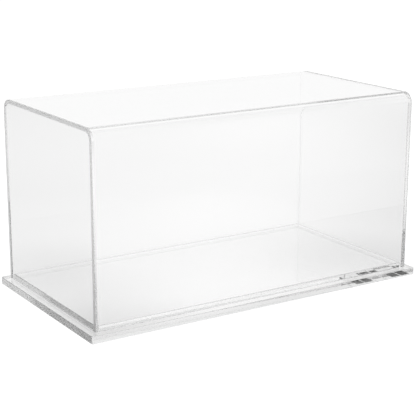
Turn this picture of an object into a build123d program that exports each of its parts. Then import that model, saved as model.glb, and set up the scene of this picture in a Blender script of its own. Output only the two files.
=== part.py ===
from build123d import *
import os

# Clear acrylic display case: a line-bent cover that lifts straight off a flat, stepped base.
# Millimetres. X runs along the case, its front faces -Y and Z is up.
# The origin is the centre of the base plate's underside.

# The cover, outside to outside
cover_length = 300.0
cover_depth = 154.0
cover_height = 152.0

# The sheet that goes up the front, over the top and down the back
wrap_thickness = 3.0
bend_inner_radius = 6.0

# The two flat panels that close its ends
end_panel_thickness = 3.0

# The base plate shows all round the cover by this much
base_margin = 6.0
base_thickness = 6.0
base_corner_radius = 1.5

# The plate on the base that keeps the cover in its place
locating_thickness = 4.0
locating_clearance = 0.5
locating_corner_radius = 1.0

# Every cut edge is scraped so that it isn't sharp, and the locating plate's top a little more
edge_break = 0.3
lead_in = 0.5

# Sizes that follow from those above
cover_bottom = base_thickness
cover_top = cover_bottom + cover_height
wrap_outer_y = cover_depth / 2
wrap_inner_y = wrap_outer_y - wrap_thickness
wrap_underside = cover_top - wrap_thickness
base_length = cover_length + 2 * base_margin
base_depth = cover_depth + 2 * base_margin
locating_length = cover_length - 2 * (end_panel_thickness + locating_clearance)
locating_depth = 2 * (wrap_inner_y - locating_clearance)

os.makedirs("parts", exist_ok=True)


def arch(half_width, top, corner_radius):
    """The filled outline of a flat-footed arch, rounded at its two top corners."""
    left_foot = (-half_width, cover_bottom)
    right_foot = (half_width, cover_bottom)
    with BuildSketch() as outline:
        with BuildLine():
            FilletPolyline(
                left_foot, (-half_width, top), (half_width, top), right_foot, radius=corner_radius
            )
            Line(right_foot, left_foot)
        make_face()
    return outline.sketch


# One sheet with two line bends. Its outside is shaped first, scraped at the ends and the rim,
# and the room inside is then cut right through it, concentric with the bends.
with BuildPart() as cover_wrap:
    with BuildSketch(Plane.YZ):
        add(arch(wrap_outer_y, cover_top, bend_inner_radius + wrap_thickness))
    extrude(amount=cover_length / 2, both=True)
    cut_ends = cover_wrap.faces().filter_by(Axis.X).edges()
    long_rims = cover_wrap.edges().filter_by(Axis.X).group_by(Axis.Z)[0]
    chamfer(cut_ends + long_rims, length=edge_break)
    with BuildSketch(Plane.YZ):
        add(arch(wrap_inner_y, wrap_underside, bend_inner_radius))
    extrude(amount=cover_length / 2, both=True, mode=Mode.SUBTRACT)
cover_wrap.part.label = "cover_wrap"

# A flat panel cut to the inside of the bends, cemented flush with the wrap's cut edge
with BuildPart() as left_end_panel:
    with BuildSketch(Plane.YZ.offset(-cover_length / 2)):
        add(arch(wrap_inner_y, wrap_underside, bend_inner_radius))
    extrude(amount=end_panel_thickness)
    outer_face = left_end_panel.faces().sort_by(Axis.X)[0]
    chamfer(outer_face.edges().sort_by(Axis.Z)[0], length=edge_break)
left_end_panel.part.label = "left_end_panel"

with BuildPart() as right_end_panel:
    mirror(left_end_panel.part, about=Plane.YZ)
right_end_panel.part.label = "right_end_panel"

# A thick plate that stands flat on the table, with its edges polished square
with BuildPart() as base_plate:
    with BuildSketch():
        RectangleRounded(base_length, base_depth, base_corner_radius)
    extrude(amount=base_thickness)
    flat_faces = base_plate.faces().filter_by(Axis.Z)
    chamfer(flat_faces.edges(), length=edge_break)
base_plate.part.label = "base_plate"

# A thinner plate cemented on the middle of it, which the cover drops over
with BuildPart() as locating_plate:
    with BuildSketch(Plane.XY.offset(base_thickness)):
        RectangleRounded(locating_length, locating_depth, locating_corner_radius)
    extrude(amount=locating_thickness)
    deck = locating_plate.faces().sort_by(Axis.Z)[-1]
    chamfer(deck.edges(), length=lead_in)
locating_plate.part.label = "locating_plate"

for piece in (cover_wrap, left_end_panel, right_end_panel, base_plate, locating_plate):
    export_step(piece.part, f"parts/{piece.part.label}.step")
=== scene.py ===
import math

import bmesh
import bpy
from mathutils import Matrix, Vector


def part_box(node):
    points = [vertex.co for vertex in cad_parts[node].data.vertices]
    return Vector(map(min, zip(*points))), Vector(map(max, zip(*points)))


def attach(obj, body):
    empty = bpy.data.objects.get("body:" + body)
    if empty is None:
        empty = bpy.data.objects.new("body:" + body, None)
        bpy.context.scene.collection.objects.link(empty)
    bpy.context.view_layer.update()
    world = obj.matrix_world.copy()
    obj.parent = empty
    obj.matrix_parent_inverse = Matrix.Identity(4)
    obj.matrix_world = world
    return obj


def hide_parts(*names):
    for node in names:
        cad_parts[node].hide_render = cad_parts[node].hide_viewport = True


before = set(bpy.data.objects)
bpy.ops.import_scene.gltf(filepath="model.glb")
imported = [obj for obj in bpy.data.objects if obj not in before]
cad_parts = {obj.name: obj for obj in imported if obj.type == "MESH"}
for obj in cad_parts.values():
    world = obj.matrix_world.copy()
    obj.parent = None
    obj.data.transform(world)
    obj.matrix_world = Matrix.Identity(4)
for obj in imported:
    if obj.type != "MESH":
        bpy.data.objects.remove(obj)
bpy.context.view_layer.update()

MM = 0.001

# Sizes read from the frame
wrap_low, wrap_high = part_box("cover_wrap")
panel_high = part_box("left_end_panel")[1]
base_low, base_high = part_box("base_plate")
deck_low, deck_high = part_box("locating_plate")
cover_half_length = wrap_high.x
cover_half_depth = wrap_high.y
wrap_inner_y = panel_high.y
cover_top = wrap_high.z
wrap_underside = panel_high.z
sheet_thickness = cover_half_depth - wrap_inner_y
panel_inner_x = -panel_high.x

# Sizes of the case that the boxes don't say
bend_inner_radius = 6.0 * MM
edge_break = 0.3 * MM
lead_in = 0.5 * MM
base_corner_radius = 1.5 * MM
deck_corner_radius = 1.0 * MM

# The cover stands on the base with this much air under its rim
loose_gap = 0.06 * MM
cover_foot = wrap_low.z + loose_gap

# Flat steps in each bend of the sheet and in each corner of a plate
bend_steps = 24
corner_steps = 6


class Wiring:
    """Adds nodes to a tree and joins them. A value is a number, a vector or another node's output."""

    def __init__(self, tree):
        self.tree = tree
        tree.nodes.clear()

    def node(self, kind, values=(), **settings):
        """A node with its settings and its input values, which are pairs of socket and value."""
        node = self.tree.nodes.new(kind)
        for name, value in settings.items():
            setattr(node, name, value)
        for key, value in values:
            if isinstance(value, bpy.types.NodeSocket):
                self.tree.links.new(value, node.inputs[key])
            else:
                node.inputs[key].default_value = value
        return node

    def add(self, kind, values=(), output=0, **settings):
        """Such a node's output."""
        return self.node(kind, values, **settings).outputs[output]

    def maths(self, operation, a, b=0.0):
        return self.add("ShaderNodeMath", [(0, a), (1, b)], operation=operation)

    def smooth(self, value, low, high, at_low, at_high):
        """Goes smoothly from at_low to at_high while the value goes from low to high."""
        ends = [(0, value), (1, low), (2, high), (3, at_low), (4, at_high)]
        return self.add("ShaderNodeMapRange", ends, interpolation_type="SMOOTHSTEP")

    def choose(self, when, plain, other):
        """plain where when is 0, and other where it is 1."""
        return self.add("ShaderNodeMix", [(0, when), (2, plain), (3, other)], data_type="FLOAT")

    def along(self, vector, direction):
        """How far the vector goes in that direction."""
        values = [(0, vector), (1, direction)]
        return self.add("ShaderNodeVectorMath", values, "Value", operation="DOT_PRODUCT")

    def noise(self, place, scale, detail):
        values = [("Vector", place), ("Scale", scale), ("Detail", detail)]
        return self.add("ShaderNodeTexNoise", values)

    def bump(self, height, distance, strength=1.0):
        values = [("Height", height), ("Distance", distance), ("Strength", strength)]
        return self.add("ShaderNodeBump", values)


# Finishes

acrylic_ior = 1.49

# How often each pattern comes in a metre
swells_per_metre = 14.0
smears_per_metre = 45.0
marks_per_metre = 2600.0
scraped_patches_per_metre = 160.0
waves_per_metre = 180.0
specks_per_metre = 260.0
airy_spots_per_metre = 22.0

# Cast faces: the height of their swells, how hazy their smears are, and where in the pattern these lie
face_tint = (0.993, 0.993, 0.993)
face_swell = 0.01 * MM
smeared_part = (0.45, 0.75)
sheet_haze = 0.03
plate_haze = 0.03
bend_haze = 0.12

# The cover's cut edges: roughness from outside and from within, and the share that is matt
cut_smooth = 0.5
cut_rough = 0.55
cut_inner = 0.34
scraped_part = (0.3, 0.7)
cut_marks = 0.0002 * MM
marks_strength = 0.6
cut_matt = 0.6
cut_white = (0.85, 0.85, 0.85)

# Rubbed feet, polished edges and sanded ends: tint and roughness, and the waves that all have
edge_tint = (0.99, 0.99, 0.99)
# The sanded ends, which are the base's left end and the plates' slants, are tinted darker than the other
# edges
end_tint = (0.76, 0.76, 0.76)
foot_smooth = 0.3
foot_rough = 0.4
edge_smooth = 0.0
edge_rough = 0.04
end_smooth = 0.15
end_rough = 0.25
wave_height = 0.008 * MM
wavy_part = (0.35, 0.7)
waves_upright = 0.25

# Cement: the specks' size in their pattern, the part of the joint that has some, and what they let by
speck_size = 0.12
airy_from = 0.6
speck_lets_by = 0.75


def new_finish(name):
    """A material with an empty tree, its wiring, and a place to read patterns from."""
    material = bpy.data.materials.new(name)
    material.use_nodes = True
    wiring = Wiring(material.node_tree)
    place = wiring.add("ShaderNodeTexCoord", output="Object")
    return material, wiring, place


def acrylic_glass(wiring, tint, rough, bump):
    return wiring.add("ShaderNodeBsdfPrincipled", [
        ("Base Color", (*tint, 1)), ("Roughness", rough), ("IOR", acrylic_ior),
        ("Transmission Weight", 1.0), ("Normal", bump),
    ])


def let_lamps_through(wiring, shader):
    """Lamplight passes the acrylic, less what its surface turns away at a slant."""
    turned_away = wiring.add("ShaderNodeFresnel", [("IOR", acrylic_ior)])
    passed = wiring.maths("SUBTRACT", 1.0, turned_away)
    clear = wiring.add("ShaderNodeBsdfTransparent", [("Color", passed)])
    lamp = wiring.add("ShaderNodeLightPath", output="Is Shadow Ray")
    mix = wiring.add("ShaderNodeMixShader", [(0, lamp), (1, shader), (2, clear)])
    wiring.node("ShaderNodeOutputMaterial", [("Surface", mix)])


def clear_face(name, haze):
    """The face of a cast sheet: clear, with the faint rise and fall that the mould leaves in it."""
    material, wiring, place = new_finish(name)
    swell = wiring.noise(place, swells_per_metre, 1.0)
    smear = wiring.noise(place, smears_per_metre, 3.0)
    rough = wiring.smooth(smear, *smeared_part, 0.0, haze)
    let_lamps_through(wiring, acrylic_glass(wiring, face_tint, rough, wiring.bump(swell, face_swell)))
    return material


def scraped_edge(name):
    """A sawn and scraped edge of the cover: satin from outside, and clearer from within the sheet."""
    material, wiring, place = new_finish(name)
    slant = wiring.along(place, (1.0, 1.0, 1.0))
    marks = wiring.add("ShaderNodeTexNoise", [
        ("W", slant), ("Scale", marks_per_metre), ("Detail", 3.0),
    ], noise_dimensions="1D")
    patches = wiring.noise(place, scraped_patches_per_metre, 2.0)
    inside = wiring.add("ShaderNodeNewGeometry", output="Backfacing")
    outer_rough = wiring.smooth(patches, *scraped_part, cut_smooth, cut_rough)
    rough = wiring.choose(inside, outer_rough, cut_inner)
    bump = wiring.bump(marks, cut_marks, marks_strength)
    glass = acrylic_glass(wiring, edge_tint, rough, bump)
    matt = wiring.add("ShaderNodeBsdfDiffuse", [("Color", (*cut_white, 1)), ("Normal", bump)])
    matt_share = wiring.choose(inside, cut_matt, 0.0)
    satin = wiring.add("ShaderNodeMixShader", [(0, matt_share), (1, glass), (2, matt)])
    let_lamps_through(wiring, satin)
    return material


def worked_edge(name, tint, smoothest, roughest):
    """An edge that is rubbed, polished or sanded, with the slow waves that this leaves in it."""
    material, wiring, place = new_finish(name)
    stretch = (1.0, 1.0, waves_upright)
    stretched = wiring.add("ShaderNodeMapping", [("Vector", place), ("Scale", stretch)])
    waves = wiring.noise(stretched, waves_per_metre, 2.0)
    rough = wiring.smooth(waves, *wavy_part, smoothest, roughest)
    let_lamps_through(wiring, acrylic_glass(wiring, tint, rough, wiring.bump(waves, wave_height)))
    return material


def cement_joint(name):
    """Where two pieces are cemented, light passes as through one sheet, but for a few specks of air."""
    material, wiring, place = new_finish(name)
    specks = wiring.add("ShaderNodeTexVoronoi", [("Vector", place), ("Scale", specks_per_metre)])
    airy = wiring.noise(place, airy_spots_per_metre, 1.0)
    is_speck = wiring.maths("LESS_THAN", specks, speck_size)
    is_airy = wiring.maths("GREATER_THAN", airy, airy_from)
    lets_by = wiring.choose(wiring.maths("MULTIPLY", is_speck, is_airy), 1.0, speck_lets_by)
    clear = wiring.add("ShaderNodeBsdfTransparent", [("Color", lets_by)])
    wiring.node("ShaderNodeOutputMaterial", [("Surface", clear)])
    return material


sheet_face = clear_face("clear_sheet_face", sheet_haze)
bend_face = clear_face("softened_bend_face", bend_haze)
plate_face = clear_face("clear_plate_face", plate_haze)
cut_edge = scraped_edge("scraped_cut_edge")
foot_edge = worked_edge("rubbed_foot_edge", edge_tint, foot_smooth, foot_rough)
plate_edge = worked_edge("polished_plate_edge", edge_tint, edge_smooth, edge_rough)
plate_end = worked_edge("sanded_plate_end", end_tint, end_smooth, end_rough)
cement = cement_joint("cemented_joint")

# Places in a piece's list of finishes, after its plain faces, which come first
edge_face = 1
joined_face = 2
sanded_face = 3


# The cover

wrap_sizes = {
    "Length": 2 * cover_half_length,
    "Depth": 2 * cover_half_depth,
    "Foot": cover_foot,
    "Top": cover_top,
    "Thickness": sheet_thickness,
    "Inner Radius": bend_inner_radius,
    "Scraped": edge_break,
    "Open Length": 2 * panel_inner_x,
    "Bend Steps": bend_steps,
}

# How far a normal goes along an axis, for a face that points straight down, roughly along the axis,
# or hardly along it at all
straight_down = -0.99
facing = 0.5
hardly = 0.02

sharp_angle = math.radians(30)


def arch_path(half_width, foot, top, radius):
    """Points of one face of the bent sheet: up the front, over and down the back."""
    points = [(-half_width, foot)]
    for centre_y, start in ((-half_width + radius, math.pi), (half_width - radius, math.pi / 2)):
        for step in range(bend_steps + 1):
            angle = start - math.pi / 2 * step / bend_steps
            points.append((centre_y + radius * math.cos(angle), top - radius + radius * math.sin(angle)))
    points.append((half_width, foot))
    return points


def folded_line(wiring, given, index, half_sheet, scraped_foot):
    """The middle of the sheet as seen from its end: up, over and down, with two line bends."""
    middle_y = wiring.maths("SUBTRACT", wiring.maths("MULTIPLY", given["Depth"], 0.5), half_sheet)
    middle_top = wiring.maths("SUBTRACT", given["Top"], half_sheet)

    # The line's four corners are numbered 0 to 3: a foot, two upper ones and the other foot
    from_middle = wiring.maths("SUBTRACT", index, 1.5)
    is_upper = wiring.maths("LESS_THAN", wiring.maths("ABSOLUTE", from_middle), 1.0)
    rise = wiring.maths("MULTIPLY", is_upper, wiring.maths("SUBTRACT", middle_top, scraped_foot))
    corner = wiring.add("ShaderNodeCombineXYZ", [
        ("Y", wiring.maths("MULTIPLY", wiring.maths("SIGN", from_middle), middle_y)),
        ("Z", wiring.maths("ADD", scraped_foot, rise)),
    ])
    line = wiring.add("GeometryNodeMeshLine", [("Count", 4)])
    corners = wiring.add("GeometryNodeSetPosition", [("Geometry", line), ("Position", corner)])
    fold = wiring.add("GeometryNodeMeshToCurve", [("Mesh", corners)])
    return wiring.add("GeometryNodeFilletCurve", [
        ("Curve", fold), ("Count", given["Bend Steps"]),
        ("Radius", wiring.maths("ADD", given["Inner Radius"], half_sheet)), ("Limit Radius", False),
    ], mode="POLY")


def sheet_section(wiring, given, index, half_sheet, half_open):
    """The flat sheet cut across: as long as the cover, and scraped at its two outer corners."""
    half_length = wiring.maths("MULTIPLY", given["Length"], 0.5)
    crown = wiring.maths("SUBTRACT", half_length, given["Scraped"])
    outer = wiring.maths("MULTIPLY", half_sheet, -1.0)
    shoulder = wiring.maths("ADD", outer, given["Scraped"])
    one_half = [
        (half_open, half_sheet), (half_length, half_sheet), (half_length, shoulder), (crown, outer),
    ]
    other_half = [(wiring.maths("MULTIPLY", x, -1.0), y) for x, y in one_half]
    corners = other_half + one_half[::-1]
    pick = wiring.node("GeometryNodeIndexSwitch", [("Index", index)], data_type="VECTOR")
    while len(pick.index_switch_items) < len(corners):
        pick.index_switch_items.new()
    for number, (x, y) in enumerate(corners):
        at = wiring.add("ShaderNodeCombineXYZ", [("X", x), ("Y", y)])
        wiring.tree.links.new(at, pick.inputs[number + 1])
    ring = wiring.add("GeometryNodeMeshCircle", [("Vertices", len(corners))])
    outline = wiring.add("GeometryNodeSetPosition", [("Geometry", ring), ("Position", pick.outputs[0])])
    return wiring.add("GeometryNodeMeshToCurve", [("Mesh", outline)])


def scraped_feet(wiring, given, swept, normal, place):
    """Carries both feet down by the scraped edge's height, and draws their outer side in by as much."""
    scraped = given["Scraped"]
    drop = wiring.maths("MULTIPLY", scraped, -1.0)
    is_down = wiring.maths("LESS_THAN", normal["Z"], straight_down)
    above_feet = wiring.maths("ADD", given["Foot"], wiring.maths("MULTIPLY", scraped, 2.0))
    is_low = wiring.maths("LESS_THAN", place["Z"], above_feet)
    feet = wiring.node("GeometryNodeExtrudeMesh", [
        ("Mesh", swept), ("Selection", wiring.maths("MULTIPLY", is_down, is_low)),
        ("Offset", wiring.add("ShaderNodeCombineXYZ", [("Z", drop)])), ("Individual", False),
    ])
    middle_depth = wiring.maths("SUBTRACT", given["Depth"], given["Thickness"])
    middle_y = wiring.maths("MULTIPLY", middle_depth, 0.5)
    is_outer = wiring.maths("GREATER_THAN", wiring.maths("ABSOLUTE", place["Y"]), middle_y)
    half_scraped = wiring.maths("ADD", given["Foot"], wiring.maths("MULTIPLY", scraped, 0.5))
    is_end = wiring.maths("LESS_THAN", place["Z"], half_scraped)
    inwards = wiring.maths("MULTIPLY", wiring.maths("SIGN", place["Y"]), drop)
    return wiring.add("GeometryNodeSetPosition", [
        ("Geometry", feet.outputs["Mesh"]), ("Selection", wiring.maths("MULTIPLY", is_outer, is_end)),
        ("Offset", wiring.add("ShaderNodeCombineXYZ", [("Y", inwards)])),
    ])


def bent_sheet_tree():
    """A flat sheet's section, swept up the front, over the top and down the back by two line bends."""
    tree = bpy.data.node_groups.new("bent_sheet", "GeometryNodeTree")
    for name in wrap_sizes:
        kind = "Int" if name == "Bend Steps" else "Float"
        tree.interface.new_socket(name, in_out="INPUT", socket_type=f"NodeSocket{kind}")
    tree.interface.new_socket("Sheet", in_out="OUTPUT", socket_type="NodeSocketGeometry")
    wiring = Wiring(tree)
    given = wiring.node("NodeGroupInput").outputs
    index = wiring.add("GeometryNodeInputIndex")
    place_vector = wiring.add("GeometryNodeInputPosition")
    normal_vector = wiring.add("GeometryNodeInputNormal")
    place = wiring.node("ShaderNodeSeparateXYZ", [(0, place_vector)]).outputs
    normal = wiring.node("ShaderNodeSeparateXYZ", [(0, normal_vector)]).outputs
    half_sheet = wiring.maths("MULTIPLY", given["Thickness"], 0.5)
    half_open = wiring.maths("MULTIPLY", given["Open Length"], 0.5)
    scraped_foot = wiring.maths("ADD", given["Foot"], given["Scraped"])
    path = folded_line(wiring, given, index, half_sheet, scraped_foot)
    section = sheet_section(wiring, given, index, half_sheet, half_open)
    swept = wiring.add("GeometryNodeCurveToMesh", [
        ("Curve", path), ("Profile Curve", section), ("Fill Caps", True),
    ])
    sheet = scraped_feet(wiring, given, swept, normal, place)
    sheet = wiring.add("GeometryNodeRealizeInstances", [("Geometry", sheet)])

    # The inner face is cemented where an end panel lies against it
    above_foot = wiring.maths("SUBTRACT", place["Z"], given["Foot"])
    from_foot = wiring.add("ShaderNodeCombineXYZ", [("Y", place["Y"]), ("Z", above_foot)])
    outwards = wiring.along(normal_vector, from_foot)
    past_open = wiring.maths("GREATER_THAN", wiring.maths("ABSOLUTE", place["X"]), half_open)
    is_joint = wiring.maths("MULTIPLY", past_open, wiring.maths("LESS_THAN", outwards, 0.0))

    # The feet face down, the cut ends face left or right, and the bends are neither level nor upright
    is_down = wiring.maths("LESS_THAN", normal["Z"], -facing)
    above_feet = wiring.maths("ADD", scraped_foot, given["Scraped"])
    is_low = wiring.maths("LESS_THAN", place["Z"], above_feet)
    is_foot = wiring.maths("MULTIPLY", is_down, is_low)
    is_cut = wiring.maths("GREATER_THAN", wiring.maths("ABSOLUTE", normal["X"]), facing)
    is_level = wiring.maths("LESS_THAN", wiring.maths("ABSOLUTE", normal["Y"]), hardly)
    is_upright = wiring.maths("LESS_THAN", wiring.maths("ABSOLUTE", normal["Z"]), hardly)
    is_bend = wiring.maths("LESS_THAN", wiring.maths("ADD", is_level, is_upright), 0.5)
    finishes = (
        (True, sheet_face), (is_bend, bend_face), (is_joint, cement), (is_foot, foot_edge),
        (is_cut, cut_edge),
    )
    for selection, finish in finishes:
        sheet = wiring.add("GeometryNodeSetMaterial", [
            ("Geometry", sheet), ("Selection", selection), ("Material", finish),
        ])
    wiring.node("NodeGroupOutput", [(0, sheet)])
    return tree


def finish_piece(mesh, name, body, node):
    """Makes a mesh a piece of the case, which stands for a CAD node."""
    mesh.name = name
    mesh.polygons.foreach_set("use_smooth", [True] * len(mesh.polygons))
    mesh.set_sharp_from_angle(angle=sharp_angle)
    piece = bpy.data.objects.new(name, mesh)
    bpy.context.scene.collection.objects.link(piece)
    weighted = piece.modifiers.new("flat faces stay flat", "WEIGHTED_NORMAL")
    weighted.keep_sharp = True
    weighted.weight = 100
    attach(piece, body)
    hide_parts(node)


def mesh_of(bm, finishes):
    """A mesh with its faces outwards and its list of finishes."""
    bmesh.ops.recalc_face_normals(bm, faces=bm.faces)
    mesh = bpy.data.meshes.new("piece")
    bm.to_mesh(mesh)
    bm.free()
    for finish in finishes:
        mesh.materials.append(finish)
    return mesh


def make_wrap():
    """Runs the bent sheet's tree on an empty mesh, and keeps the plain mesh that it gives."""
    tree = bent_sheet_tree()
    maker = bpy.data.objects.new("wrap_maker", bpy.data.meshes.new("wrap_maker"))
    bpy.context.scene.collection.objects.link(maker)
    modifier = maker.modifiers.new("bent sheet", "NODES")
    modifier.node_group = tree
    for socket in tree.interface.items_tree:
        if socket.in_out == "INPUT":
            modifier[socket.identifier] = wrap_sizes[socket.name]
    made = maker.evaluated_get(bpy.context.evaluated_depsgraph_get())
    mesh = bpy.data.meshes.new_from_object(made)
    bpy.data.objects.remove(maker)
    finish_piece(mesh, "cover_wrap_sheet", "cover", "cover_wrap")


def make_end_panel(word, side):
    """A flat panel whose edge follows the inside of the bends. side is -1 for the left end."""
    bm = bmesh.new()
    outline = arch_path(wrap_inner_y, cover_foot + edge_break, wrap_underside, bend_inner_radius)
    outside, inside = (
        [bm.verts.new((side * x, y, z)) for y, z in outline] for x in (cover_half_length, panel_inner_x)
    )
    crown, under = (
        [bm.verts.new((side * x, y, cover_foot)) for y in (-wrap_inner_y, wrap_inner_y)]
        for x in (cover_half_length - edge_break, panel_inner_x)
    )
    bm.faces.new(outside)
    bm.faces.new(inside + [under[1], under[0]])
    for corners in zip(outside, outside[1:], inside[1:], inside):
        bm.faces.new(corners).material_index = joined_face
    for end in (0, -1):
        corners = (outside[end], crown[end], under[end], inside[end])
        bm.faces.new(corners).material_index = joined_face
    scraped_slant = (outside[0], outside[-1], crown[1], crown[0])
    foot = (crown[0], crown[1], under[1], under[0])
    for corners in (scraped_slant, foot):
        bm.faces.new(corners).material_index = edge_face
    mesh = mesh_of(bm, [sheet_face, foot_edge, cement])
    finish_piece(mesh, f"{word}_end_panel_sheet", "cover", f"{word}_end_panel")


make_wrap()
make_end_panel("left", -1)
make_end_panel("right", 1)


# The base


def rounded_rectangle(half_x, half_y, radius):
    """Points round a plate's outline, from the right end and back to it."""
    points = []
    for quarter, (sx, sy) in enumerate(((1, 1), (-1, 1), (-1, -1), (1, -1))):
        for step in range(corner_steps + 1):
            angle = math.pi / 2 * (quarter + step / corner_steps)
            points.append((
                sx * (half_x - radius) + radius * math.cos(angle),
                sy * (half_y - radius) + radius * math.sin(angle),
            ))
    return points


def plate_mesh(high, radius, levels):
    """A flat plate with rounded corners, open at the top and bottom. levels are (height, inset) pairs."""
    bm = bmesh.new()
    rings = []
    for z, inset in levels:
        outline = rounded_rectangle(high.x - inset, high.y - inset, radius - inset)
        rings.append([bm.verts.new((x, y, z)) for x, y in outline])
    left_end = radius / 3 - high.x
    for number, (low, up) in enumerate(zip(rings, rings[1:])):
        is_slanted = levels[number][1] != levels[number + 1][1]
        for i in range(len(low)):
            k = (i + 1) % len(low)
            face = bm.faces.new((low[i], low[k], up[k], up[i]))
            is_left = max(low[i].co.x, low[k].co.x) < left_end
            face.material_index = sanded_face if is_left or is_slanted else edge_face
    return bm, rings[0], rings[-1]


def make_base_plate():
    """The thick plate. The part of its top that the locating plate is cemented to is its own face."""
    levels = [
        (base_low.z, edge_break), (base_low.z + edge_break, 0),
        (base_high.z - edge_break, 0), (base_high.z, edge_break),
    ]
    bm, bottom, top = plate_mesh(base_high, base_corner_radius, levels)
    bm.faces.new(bottom)
    outline = rounded_rectangle(deck_high.x, deck_high.y, deck_corner_radius)
    seat = [bm.verts.new((x, y, base_high.z)) for x, y in outline]
    for i in range(len(seat)):
        k = (i + 1) % len(seat)
        bm.faces.new((top[i], top[k], seat[k], seat[i]))
    bm.faces.new(seat).material_index = joined_face
    mesh = mesh_of(bm, [plate_face, plate_edge, cement, plate_end])
    finish_piece(mesh, "base_plate_acrylic", "base", "base_plate")


def make_locating_plate():
    """The thinner plate that the cover fits round, with a slant at its top that leads the cover on."""
    levels = [(deck_low.z, 0), (deck_high.z - lead_in, 0), (deck_high.z, lead_in)]
    bm, bottom, top = plate_mesh(deck_high, deck_corner_radius, levels)
    bm.faces.new(bottom).material_index = joined_face
    bm.faces.new(top)
    mesh = mesh_of(bm, [plate_face, plate_edge, cement, plate_end])
    finish_piece(mesh, "locating_plate_acrylic", "base", "locating_plate")


make_base_plate()
make_locating_plate()


# The studio. Seen straight on, it is white all round, and through the acrylic it is painted a little
# dimmer.
# The acrylic mirrors a pale floor with painted shadows and painted patches of light, and a dark room with
# a white backdrop behind to the right and a pale ceiling. After many turns it also shows a painted pale
# patch in front to the right and painted dark specks behind to the left.

floor_reach = 6.0
floor_level = -0.3 * MM
floor_paint = 0.2
# Painted shade: the floor glows dimmer where it is seen through the acrylic, and at its own painted level
# in mirrors
glow_through = 0.848
mirrored_floor = 0.81
mirrored_least = 0.05

# Painted shadows and painted patches of light on the floor, each a centre, a reach and a change of its
# level: as seen through the acrylic, as seen by the matt part of the cut edges, and as mirrored
painted_light_and_shade_through = [
    ((-0.14, 0.0), (0.12, 0.12), -0.12),
    ((0.13, -0.02), (0.12, 0.12), -0.1),
    ((-0.14, -0.1), (0.12, 0.1), -0.2),
    ((0.32, -0.2), (0.36, 0.51), -0.35),
    ((0.67, 0.15), (0.54, 0.55), -0.35),
    ((0.28, -0.07), (0.49, 0.54), 0.12),
    ((-0.15, 0.49), (0.41, 0.6), -0.09),
    ((0.49, 0.36), (0.32, 0.4), 0.12),
]
# Painted shade on the floor near the left end, which darkens what the matt part of the cut edges takes in
# from below
painted_shade_for_matt = [((-0.18, -0.08), (0.14, 0.14), -1.0)]
# Painted reflections: where the floor is mirrored, it is painted darker or lighter in these patches,
# darkest by the case's front left corner
painted_reflection_patches = [
    ((-0.21, 0.1), (0.11, 0.11), -0.31),
    ((-0.21, -0.07), (0.11, 0.12), -0.7),
    ((-0.05, -0.13), (0.14, 0.1), 0.2),
    ((0.15, -0.13), (0.14, 0.1), -0.2),
    ((0.0, 0.16), (0.13, 0.11), 0.19),
    ((0.0, 0.42), (0.3, 0.3), 0.18),
    ((0.3, 0.45), (0.3, 0.3), 0.2),
    ((0.0, -0.4), (0.3, 0.3), 0.2),
    ((-0.8, 1.0), (0.8, 0.7), -0.23),
    ((0.9, 1.2), (0.8, 0.8), 0.2),
]

# The room: which way each thing in it lies, how near that way it starts and is whole, and its level
room_dark = 0.02
backdrop_way = Vector((0.54, 0.84, 0))
backdrop_edge = (0.1, 0.6)
ceiling_way = Vector((0, 0, 1))
ceiling_edge = (0.4, 0.65)
ceiling_level = 0.95
# A pale patch painted into the room, which shows only in reflections after many turns: a painted
# reflection
painted_pale_way = Vector((0.52, -0.81, 0.26))
painted_pale_edge = (0.86, 0.95)
painted_pale_level = 0.8
# Dark specks painted into the room, which show only in reflections after many turns: painted dark
# reflections
painted_dark_way = Vector((-0.52, 0.81, 0.26))
painted_dark_edge = (0.86, 0.93)
painted_dark_scale = 330
painted_dark_part = (0.5, 0.54)
painted_dark_level = 0.0

# How often light is turned back by faces before it sees the painted pale patch and dark specks, and
# before the room is painted weaker
turns_to_painted_patches = 3
turns_to_weaken = 4
left_after_turns = 0.86

# The world's level as seen through the acrylic, where it is painted dimmer, and by matt surfaces
room_through = 0.92
room_light = 0.36

softbox_place = Vector((0, 0.2, 1.4))
softbox_width = 2.4
softbox_depth = 1.6
softbox_power = 8.0


def has_bounced(wiring, kind, times=1):
    """1 where the light has bounced at least that many times in this way, else 0."""
    bounces = wiring.add("ShaderNodeLightPath", output=f"{kind} Depth")
    return wiring.maths("GREATER_THAN", bounces, times - 0.5)


def with_patches(wiring, place, level, patches):
    """The level, raised or lowered in soft round patches of painted light and shade, each a centre, a
    reach and a change.
    """
    for centre, reach, change in patches:
        start = (*centre, 0)
        scale = (1 / reach[0], 1 / reach[1], 0)
        moved = wiring.add("ShaderNodeVectorMath", [(0, place), (1, start)], operation="SUBTRACT")
        scaled = wiring.add("ShaderNodeVectorMath", [(0, moved), (1, scale)], operation="MULTIPLY")
        far = wiring.add("ShaderNodeVectorMath", [(0, scaled)], "Value", operation="LENGTH")
        level = wiring.maths("ADD", wiring.smooth(far, 0.0, 1.0, change, 0.0), level)
    return level


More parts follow.
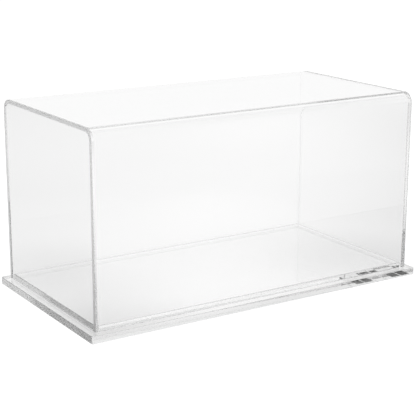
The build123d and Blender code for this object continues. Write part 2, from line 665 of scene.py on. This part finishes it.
def make_floor():
    """A pale floor that glows as well as taking light, so that it is white but keeps a shadow. Its glow
    has painted shade and light through the acrylic, painted shade for the matt edges, and painted patches
    in mirrors.
    """
    mesh = bpy.data.meshes.new("floor")
    ways = ((-1, -1), (1, -1), (1, 1), (-1, 1))
    corners = [(x * floor_reach, y * floor_reach, floor_level) for x, y in ways]
    mesh.from_pydata(corners, [], [(0, 1, 2, 3)])
    floor = bpy.data.objects.new("floor", mesh)
    bpy.context.scene.collection.objects.link(floor)
    material, wiring, place = new_finish("pale_floor")
    mesh.materials.append(material)
    through = with_patches(wiring, place, glow_through, painted_light_and_shade_through)
    by_matt = with_patches(wiring, place, 1.0, painted_shade_for_matt)
    level = wiring.choose(has_bounced(wiring, "Transmission"), 1.0, through)
    level = wiring.choose(has_bounced(wiring, "Diffuse"), level, by_matt)
    glow = wiring.add("ShaderNodeEmission", [("Strength", level)])
    paint = wiring.add("ShaderNodeBsdfDiffuse", [("Color", (floor_paint, floor_paint, floor_paint, 1))])
    seen = wiring.add("ShaderNodeAddShader", [(0, glow), (1, paint)])
    mirrored_level = with_patches(wiring, place, mirrored_floor, painted_reflection_patches)
    mirrored_level = wiring.maths("MAXIMUM", mirrored_level, mirrored_least)
    mirrored = wiring.add("ShaderNodeEmission", [("Strength", mirrored_level)])
    in_mirror = has_bounced(wiring, "Glossy")
    mix = wiring.add("ShaderNodeMixShader", [(0, in_mirror), (1, seen), (2, mirrored)])
    wiring.node("ShaderNodeOutputMaterial", [("Surface", mix)])


def make_world():
    """White straight on, and the room where it is mirrored."""
    world = bpy.data.worlds.new("studio")
    bpy.context.scene.world = world
    world.use_nodes = True
    wiring = Wiring(world.node_tree)
    direction = wiring.add("ShaderNodeTexCoord", output="Generated")
    room = wiring.smooth(wiring.along(direction, backdrop_way), *backdrop_edge, room_dark, 1.0)
    ceiling = wiring.smooth(wiring.along(direction, ceiling_way), *ceiling_edge, 0.0, ceiling_level)
    room = wiring.maths("MAXIMUM", room, ceiling)

    # A pale patch is painted into the room in front to the right, and shows only where light has turned
    # that many times: a painted reflection
    many_turns = has_bounced(wiring, "Glossy", turns_to_painted_patches)
    painted_pale_patch = wiring.smooth(wiring.along(direction, painted_pale_way), *painted_pale_edge, 0.0, painted_pale_level)
    room = wiring.maths("MAXIMUM", room, wiring.choose(many_turns, painted_pale_patch, 0.0))

    # Small dark specks are painted into the room far off to the left of the backdrop, and show after as
    # many turns: painted dark reflections
    pattern = wiring.noise(direction, painted_dark_scale, 2.0)
    painted_dark_pattern = wiring.smooth(pattern, *painted_dark_part, 0.0, 1.0)
    that_way = wiring.smooth(wiring.along(direction, painted_dark_way), *painted_dark_edge, 0.0, 1.0)
    painted_dark_specks = wiring.maths("MULTIPLY", wiring.maths("MULTIPLY", painted_dark_pattern, that_way), many_turns)
    room = wiring.choose(painted_dark_specks, room, painted_dark_level)

    # Light that has turned still more times comes out weaker: the room is painted darker for it, a
    # painted shade
    left = wiring.choose(has_bounced(wiring, "Glossy", turns_to_weaken), 1.0, left_after_turns)
    room = wiring.maths("MULTIPLY", room, left)
    straight = wiring.choose(has_bounced(wiring, "Transmission"), 1.0, room_through)
    seen = wiring.choose(has_bounced(wiring, "Glossy"), straight, room)
    level = wiring.choose(has_bounced(wiring, "Diffuse"), seen, room_light)
    sky = wiring.add("ShaderNodeBackground", [("Color", (1, 1, 1, 1)), ("Strength", level)])
    wiring.node("ShaderNodeOutputWorld", [("Surface", sky)])


def make_softbox():
    """A wide lamp overhead, aimed at the case. No face mirrors it, and none shows it through."""
    light = bpy.data.lights.new("overhead_softbox", "AREA")
    light.shape = "RECTANGLE"
    light.size = softbox_width
    light.size_y = softbox_depth
    light.energy = softbox_power
    lamp = bpy.data.objects.new("overhead_softbox", light)
    aimed = softbox_place.to_track_quat("Z", "Y").to_matrix().to_4x4()
    lamp.matrix_world = Matrix.Translation(softbox_place) @ aimed
    lamp.visible_glossy = False
    lamp.visible_transmission = False
    bpy.context.scene.collection.objects.link(lamp)


make_floor()
make_world()
make_softbox()

# Camera: where the photograph was taken from
camera_azimuth = math.radians(-32.65)
camera_elevation = math.radians(14.963)
camera_roll = math.radians(0.15)
camera_distance = 0.998
camera_aim = Vector((-4.6, -2.87, 63.68)) * MM
back = Vector((
    math.sin(camera_azimuth) * math.cos(camera_elevation),
    -math.cos(camera_azimuth) * math.cos(camera_elevation),
    math.sin(camera_elevation),
))
camera_data = bpy.data.cameras.new("camera")
camera_data.sensor_width = 36
camera_data.lens = 103.265
camera = bpy.data.objects.new("camera", camera_data)
turn = back.to_track_quat("Z", "Y").to_matrix() @ Matrix.Rotation(camera_roll, 3, "Z")
camera.matrix_world = Matrix.Translation(camera_aim + back * camera_distance) @ turn.to_4x4()
bpy.context.scene.collection.objects.link(camera)
bpy.context.scene.camera = camera

bpy.context.scene.view_settings.view_transform = "Standard"

# Light goes back and forth in a sheet a hundred times and more before a cut edge lets it out
most_bounces = 256
cycles = bpy.context.scene.cycles
cycles.max_bounces = most_bounces
cycles.glossy_bounces = most_bounces
cycles.transmission_bounces = most_bounces
cycles.transparent_max_bounces = most_bounces
